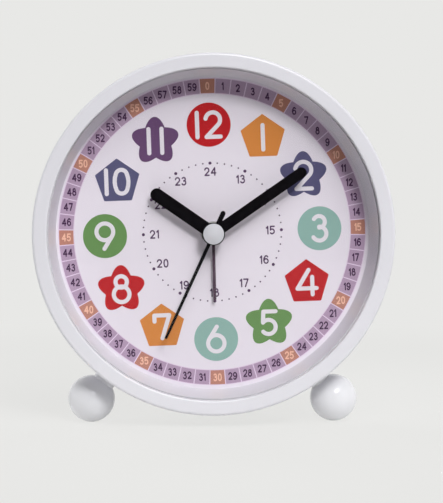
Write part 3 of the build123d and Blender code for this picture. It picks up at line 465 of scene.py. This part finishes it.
# Bezel, turned afresh in even steps so that light runs cleanly along its rounded edges
bezel = {
    "face": 4.6, "wall": 1.3, "edgeRound": 0.9, "lipRound": 0.6, "rearRound": 0.4,
    "steps": 256, "roundSteps": 8, "sharpFrom": 35, "weld": 0.0005,
}


def buildBezel():
    outer = (bezelHigh.x - bezelLow.x) / 2 / mm
    opening, bore = outer - bezel["face"], outer - bezel["wall"]
    front, rear = (dialFront - bezelLow.y) / mm, (dialFront - bezelHigh.y) / mm
    seat = (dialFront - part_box("lens")[0].y) / mm
    bm = bmesh.new()
    corners = [bm.verts.new((radius, 0, level)) for radius, level in (
        (opening, seat), (bore, seat), (bore, rear), (outer, rear), (outer, front), (opening, front))]
    bm.faces.new(corners)
    for corner, radius in zip(corners[3:], (bezel["rearRound"], bezel["edgeRound"], bezel["lipRound"])):
        bmesh.ops.bevel(bm, geom=[corner], offset=radius, offset_type="OFFSET", affect="VERTICES",
                        segments=bezel["roundSteps"], profile=0.5, material=-1)
    bmesh.ops.delete(bm, geom=bm.faces[:], context="FACES_ONLY")
    bmesh.ops.spin(bm, geom=bm.verts[:] + bm.edges[:], cent=(0, 0, 0), axis=(0, 0, 1), angle=2 * pi,
                   steps=bezel["steps"], use_merge=True)
    bmesh.ops.remove_doubles(bm, verts=bm.verts, dist=bezel["weld"])
    ring = settle("bezelRing", bm, finishes["shell_white"], standUp(dialFront))
    ring.data.shade_smooth()
    ring.data.set_sharp_from_angle(angle=radians(bezel["sharpFrom"]))
    even = ring.modifiers.new("evenNormals", "WEIGHTED_NORMAL")
    even.keep_sharp = True
    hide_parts("bezel")


buildBezel()
print("bezel turned")

# Hour badges: circles, pentagons and stars by turns, with round white numbers
badges = {
    "radius": 33.1, "pen": 1.28, "spacing": 0.35, "elevenSpacing": 0.54, "numberStep": 12,
    "white": srgb(230, 225, 232),
    "forms": {
        "circle": {"corners": 96, "radius": 6.78},
        "pentagon": {"corners": 5, "radius": 7.2, "round": 0.25, "roundSteps": 3},
        "star": {"corners": 10, "radius": 11.8, "notch": 5.1, "round": 8.0, "roundSteps": 14},
    },
    "colours": {
        "red": srgb(186, 21, 29), "orange": srgb(213, 134, 64), "violetBlue": srgb(84, 81, 117),
        "mint": srgb(143, 179, 171), "green": srgb(104, 144, 85), "slate": srgb(87, 85, 120),
        "purple": srgb(100, 69, 108),
    },
    "hours": {                                                # form, colour and height of the number
        12: ("circle", "red", 7.5), 1: ("pentagon", "orange", 7.5), 2: ("star", "violetBlue", 8.3),
        3: ("circle", "mint", 7.6), 4: ("pentagon", "red", 7.6), 5: ("star", "green", 7.0),
        6: ("circle", "mint", 7.7), 7: ("pentagon", "orange", 7.1), 8: ("star", "red", 8.0),
        9: ("circle", "green", 7.8), 10: ("pentagon", "slate", 7.3), 11: ("star", "purple", 7.4),
    },
}


def pointedFace(points, radius):
    # one flat face round the origin with a corner at the top, and its corners in order from there
    bm = bmesh.new()
    bmesh.ops.create_circle(bm, cap_ends=True, segments=points, radius=radius)
    corners = sorted(bm.verts, key=lambda v: -v.co.to_2d().angle_signed(Vector((0, 1)), 0) % (2 * pi))
    top = corners[0].co.to_2d().angle_signed(Vector((0, 1)))
    bmesh.ops.rotate(bm, verts=bm.verts, cent=(0, 0, 0), matrix=Matrix.Rotation(-top, 3, "Z"))
    return bm, corners


def badgeFace(form):
    bm, corners = pointedFace(form["corners"], form["radius"])
    if "notch" in form:
        bmesh.ops.scale(bm, verts=corners[1::2], vec=Vector((1, 1, 1)) * form["notch"] / form["radius"])
        corners = corners[0::2]
    if "round" in form:
        bmesh.ops.bevel(bm, geom=corners, offset=form["round"], offset_type="OFFSET", affect="VERTICES",
                        segments=form["roundSteps"], profile=0.5, material=-1)
    return bm


def buildBadges():
    plates = {colour: bmesh.new() for colour in badges["colours"]}
    numbers = bmesh.new()
    for hour, (form, colour, height) in badges["hours"].items():
        plate = badgeFace(badges["forms"][form])
        inkCoat(plate)
        place = clockPlace(hour / 12, badges["radius"])
        stamp(plates[colour], plate, place)
        spacing = badges["elevenSpacing" if hour == 11 else "spacing"]
        penRow(numbers, list(str(hour)), height, badges["pen"], spacing, place, printing["ink"],
               badges["numberStep"])
    for colour, bm in plates.items():
        finish = ink("inkBadge." + colour, badges["colours"][colour])
        settle("hourBadges." + colour, bm, finish, toDial)
    settle("hourNumbers", numbers, ink("inkWhite", badges["white"]), toDial)


buildBadges()
print("hour badges printed")

# Ring of dots and the hours 13 to 24 inside it
innerRing = {
    "dotRadius": 21.3, "hourDot": 0.48, "hourDotSteps": 20, "minuteDot": 0.25, "minuteDotSteps": 12,
    "numberTop": 18.7, "numberSide": 17.9, "numberHeight": 2.26, "numberPen": 0.44, "numberSqueeze": 0.92,
    "spacing": 0.36, "numberStep": 20, "dark": srgb(85, 59, 92),
}


def buildInnerRing():
    sheet = bmesh.new()
    for minute in range(60):
        size = "hourDot" if minute % 5 == 0 else "minuteDot"
        dot = bmesh.new()
        bmesh.ops.create_circle(dot, cap_ends=True, segments=innerRing[size + "Steps"], radius=innerRing[size])
        inkCoat(dot)
        stamp(sheet, dot, clockPlace(minute / 60, innerRing["dotRadius"]))
    for hour in range(13, 25):
        # numbers at the sides stand a little closer to the middle than those at top and bottom
        upright = cos(2 * pi * hour / 12) ** 2
        radius = innerRing["numberTop"] * upright + innerRing["numberSide"] * (1 - upright)
        penRow(sheet, smallKeys(hour), innerRing["numberHeight"], innerRing["numberPen"], innerRing["spacing"],
               clockPlace(hour / 12, radius, innerRing["numberSqueeze"]), 0, innerRing["numberStep"])
    settle("innerHours", sheet, ink("inkGrey", innerRing["dark"]), toDial)


buildInnerRing()
print("inner ring printed")

# Marks on the back: which knob sets what, which way to turn it, the switch's two ends and the cell's ends
rearMarks = {
    "tone": srgb(128, 127, 134), "pen": 0.5,
    "arrowRing": 7.9, "arrowFrom": 158, "arrowSweep": -128, "arrowHead": 1.3, "arrowStep": 6,
    "signHeight": 4.6, "signRise": 11.6, "signStep": 12,
    "switchSignHeight": 1.9, "switchSignRise": 4.2, "switchTravel": 4.0,
    "cellHeight": 5.0, "cellSide": 19.0, "cellPen": 0.42, "smallStep": 15,
}


def nodeMiddle(node):
    # in mm right and up from the axis, as seen from behind
    low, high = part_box(node)
    return -(low.x + high.x) / 2 / mm, ((low.z + high.z) / 2 - axisHeight) / mm


def turnArrow(sheet, x, y):
    # a curved arrow over a knob, clockwise as seen from behind
    first, sweep, ring = radians(rearMarks["arrowFrom"]), rearMarks["arrowSweep"], rearMarks["arrowRing"]
    shaft = penStroke(rearMarks["pen"] / 2, (x + ring * cos(first), y + ring * sin(first)),
                      [("arc", x, y, sweep)], rearMarks["arrowStep"])
    inkCoat(shaft)
    stamp(sheet, shaft)
    last = first + radians(sweep)
    head = pointedFace(3, rearMarks["arrowHead"])[0]
    inkCoat(head, printing["ink"] + printing["stepUp"])
    stamp(sheet, head, Matrix.Translation((x + ring * cos(last), y + ring * sin(last), 0))
          @ Matrix.Rotation(last + pi, 4, "Z"))


def rearSign(sheet, sign, height, pen, x, y, perStep):
    penRow(sheet, [sign], height, pen, 0, Matrix.Translation((x, y, 0)), 0, perStep)


def buildRearMarks():
    finish, pen, smallStep = ink("inkRearMarks", rearMarks["tone"]), rearMarks["pen"], rearMarks["smallStep"]
    sheet = bmesh.new()
    for node, sign in (("time_knob", "clock"), ("alarm_knob", "bell")):
        x, y = nodeMiddle(node)
        turnArrow(sheet, x, y)
        rearSign(sheet, sign, rearMarks["signHeight"], pen, x, y + rearMarks["signRise"], rearMarks["signStep"])
    x, y = nodeMiddle("alarm_switch")
    for sign, along in (("1", -rearMarks["switchTravel"]), ("ring", 0)):
        rearSign(sheet, sign, rearMarks["switchSignHeight"], pen, x + along, y + rearMarks["switchSignRise"],
                 smallStep)
    settle("rearMarks", sheet, finish, toBack)
    doorSheet = bmesh.new()
    x, y = nodeMiddle("battery_door")
    rearSign(doorSheet, "cell", rearMarks["cellHeight"], rearMarks["cellPen"], x - rearMarks["cellSide"], y,
             smallStep)
    settle("doorMarks", doorSheet, finish, toBack, "door")


buildRearMarks()
print("rear marks printed")

# Floor, world and lamps
studio = {
    "background": srgb(232, 232, 230), "floorRadius": 0.85, "floorSteps": 64, "floorRough": 0.9,
    "shadeShare": 0.12, "shadeNear": 0.10, "shadeFar": 0.34,  # how much of the floor's own light and shade shows
    "floorDark": srgb(110, 110, 112),                         # far from the clock, so that little light comes back
    "fillTone": (0.97, 0.97, 1.0, 1), "worldFill": 0.03,
    "flagEdge": (0.82, 0.94),                                 # the world behind the camera stays dark in the lens
    "lampDistance": 1.3,
    "lamps": {                                                # degrees right of the front and up, metres, watts
        "keyLamp": {"side": 15, "up": 33.7, "size": 0.3, "power": 8.1, "mirrored": True},
        "softLamp": {"side": 20, "up": 50, "size": 0.8, "power": 9.5, "mirrored": True},
        "sideLampLeft": {"side": -104, "up": 8, "size": 0.5, "power": 5, "mirrored": False},
        "sideLampRight": {"side": 104, "up": 8, "size": 0.5, "power": 3.2, "mirrored": False},
        "rearLampLeft": {"side": -145, "up": 20, "size": 0.7, "power": 8.0, "mirrored": False},
        "rearLampRight": {"side": 145, "up": 20, "size": 0.7, "power": 4.8, "mirrored": False},
    },
}


def outward(side, up):
    # the way out from the clock, degrees right of the front and up
    side, up = radians(side), radians(up)
    return Vector((sin(side) * cos(up), -cos(side) * cos(up), sin(up)))


def faceBack(item, toward):
    # lamps and cameras look along their own -z
    item.rotation_mode = "QUATERNION"
    item.rotation_quaternion = toward.to_track_quat("Z", "Y")


def pathShares(tree):
    # 1 for what the camera sees itself, and 1 for what it sees in gloss or through the lens
    path = tree.nodes.new("ShaderNodeLightPath")
    mirrored = mathNode(tree, "MAXIMUM", path.outputs["Is Glossy Ray"], path.outputs["Is Transmission Ray"])
    return path.outputs["Is Camera Ray"], mirrored


def buildFloor():
    bm = bmesh.new()
    bmesh.ops.create_circle(bm, cap_ends=True, segments=studio["floorSteps"], radius=studio["floorRadius"])
    mesh = bpy.data.meshes.new("studioFloor")
    bm.to_mesh(mesh)
    bm.free()
    floor = bpy.data.objects.new("studioFloor", mesh)
    scene.collection.objects.link(floor)
    finish = bpy.data.materials.new("studioPale")
    finish.use_nodes = True
    tree = finish.node_tree
    make, link = tree.nodes.new, tree.links.new
    shader = tree.nodes["Principled BSDF"]
    shader.inputs["Roughness"].default_value = studio["floorRough"]
    glow = make("ShaderNodeEmission")
    glow.inputs["Color"].default_value = studio["background"]
    coords, far, tone = make("ShaderNodeTexCoord"), make("ShaderNodeVectorMath"), make("ShaderNodeMix")
    far.operation = "LENGTH"
    link(coords.outputs["Object"], far.inputs[0])
    fade = smoothStep(tree, far.outputs["Value"], studio["shadeNear"], studio["shadeFar"])
    tone.data_type = "RGBA"
    tone.inputs["A"].default_value = studio["background"]
    tone.inputs["B"].default_value = studio["floorDark"]
    link(fade, tone.inputs["Factor"])
    link(tone.outputs["Result"], shader.inputs["Base Color"])
    pale = mathNode(tree, "MULTIPLY_ADD", fade, studio["shadeShare"], 1 - studio["shadeShare"])
    seen = mathNode(tree, "MAXIMUM", *pathShares(tree))
    mixShaders(tree, mathNode(tree, "MULTIPLY", seen, pale), shader, glow, "Material Output")
    mesh.materials.append(finish)


def buildWorld():
    world = bpy.data.worlds.new("studioWorld")
    scene.world = world
    world.use_nodes = True
    tree = world.node_tree
    make, link = tree.nodes.new, tree.links.new
    fill, pale = tree.nodes["Background"], make("ShaderNodeBackground")
    fill.inputs["Color"].default_value = studio["fillTone"]
    fill.inputs["Strength"].default_value = studio["worldFill"]
    pale.inputs["Color"].default_value = studio["background"]
    coords, front = make("ShaderNodeTexCoord"), make("ShaderNodeVectorMath")
    front.operation = "DOT_PRODUCT"
    front.inputs[1].default_value = (0, -1, 0)
    link(coords.outputs["Generated"], front.inputs[0])
    flag = smoothStep(tree, front.outputs["Value"], *studio["flagEdge"], 1, 0)
    straight, mirrored = pathShares(tree)
    share = mathNode(tree, "MAXIMUM", straight, mathNode(tree, "MULTIPLY", mirrored, flag))
    mixShaders(tree, share, fill, pale, "World Output")


def buildLamps():
    for name, values in studio["lamps"].items():
        light = bpy.data.lights.new(name, "AREA")
        light.shape = "DISK"
        light.size = values["size"]
        light.energy = values["power"]
        lamp = bpy.data.objects.new(name, light)
        scene.collection.objects.link(lamp)
        toward = outward(values["side"], values["up"])
        lamp.location = Vector((0, dialFront, axisHeight)) + toward * studio["lampDistance"]
        faceBack(lamp, toward)
        lamp.visible_glossy = values["mirrored"]


buildFloor()
buildWorld()
buildLamps()
print("studio ready")

# Camera at the photograph's angle: degrees left of the front and up; it aims a little off the rim's middle
camera = {
    "distance": 0.600, "left": 1.8, "up": 2.7, "lens": 142.2, "sensor": 36,
    "aimRight": 2.18 * mm, "aimUp": -4.97 * mm,
}


def buildCamera():
    data = bpy.data.cameras.new("camera")
    data.lens = camera["lens"]
    data.sensor_width = camera["sensor"]
    holder = bpy.data.objects.new("camera", data)
    scene.collection.objects.link(holder)
    rimMiddle = Vector((0, bezelLow.y, axisHeight))
    holder.location = rimMiddle + outward(-camera["left"], camera["up"]) * camera["distance"]
    aim = rimMiddle + Vector((camera["aimRight"], 0, camera["aimUp"]))
    faceBack(holder, holder.location - aim)
    scene.camera = holder


buildCamera()
scene.view_settings.view_transform = "Standard"
print("camera set")
